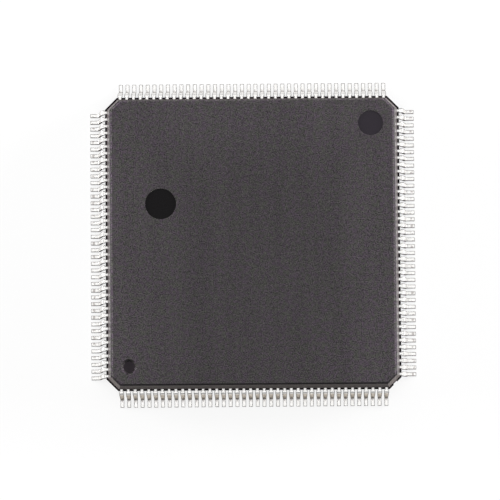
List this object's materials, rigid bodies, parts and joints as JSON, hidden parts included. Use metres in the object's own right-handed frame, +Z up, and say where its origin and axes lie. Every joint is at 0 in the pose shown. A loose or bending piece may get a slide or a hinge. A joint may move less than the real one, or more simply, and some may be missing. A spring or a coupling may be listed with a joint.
{
  "type": "quad flat pack chip",
  "caption": "Moulded square chip package with gull-wing leads on all four sides, a chamfered body and a pin 1 dimple.",
  "frame": {"origin": "centre of the seating plane, under the feet of the leads", "axes": "+Z up out of the board, square to the seating plane; +X and +Y along the rows of leads, with the pin 1 dimple in the -X -Y corner of the top face"},
  "size_m": [0.0312, 0.0312, 0.0037],
  "materials": {
    "mould_compound": "fine matt grain, as moulded",
    "plated_lead": "satin tin plate on copper alloy",
    "leadframe_pad": "bare copper alloy",
    "die_adhesive": "silver-filled epoxy",
    "silicon": "polished, with a dull oxide layer",
    "gold_wire": "bright drawn wire"
  },
  "bodies": {
    "root": {"body": "mould_compound", "die_pad": "leadframe_pad", "die_adhesive": "die_adhesive", "die": "silicon", "leads_1_to_4": "plated_lead", "leads_5_to_8": "plated_lead", "leads_9_to_12": "plated_lead", "leads_13_to_16": "plated_lead", "leads_17_to_20": "plated_lead", "leads_21_to_24": "plated_lead", "leads_25_to_28": "plated_lead", "leads_29_to_32": "plated_lead", "leads_33_to_36": "plated_lead", "leads_37_to_40": "plated_lead", "leads_41_to_44": "plated_lead", "leads_45_to_48": "plated_lead", "leads_49_to_52": "plated_lead", "leads_53_to_56": "plated_lead", "leads_57_to_60": "plated_lead", "leads_61_to_64": "plated_lead", "leads_65_to_68": "plated_lead", "leads_69_to_72": "plated_lead", "leads_73_to_76": "plated_lead", "leads_77_to_80": "plated_lead", "leads_81_to_84": "plated_lead", "leads_85_to_88": "plated_lead", "leads_89_to_92": "plated_lead", "leads_93_to_96": "plated_lead", "leads_97_to_100": "plated_lead", "leads_101_to_104": "plated_lead", "leads_105_to_108": "plated_lead", "leads_109_to_112": "plated_lead", "leads_113_to_116": "plated_lead", "leads_117_to_120": "plated_lead", "leads_121_to_124": "plated_lead", "leads_125_to_128": "plated_lead", "leads_129_to_132": "plated_lead", "leads_133_to_136": "plated_lead", "leads_137_to_140": "plated_lead", "leads_141_to_144": "plated_lead", "leads_145_to_148": "plated_lead", "leads_149_to_152": "plated_lead", "leads_153_to_156": "plated_lead", "leads_157_to_160": "plated_lead", "bond_wires_front": "gold_wire", "bond_wires_right": "gold_wire", "bond_wires_back": "gold_wire", "bond_wires_left": "gold_wire"}
  },
  "joints": []
}
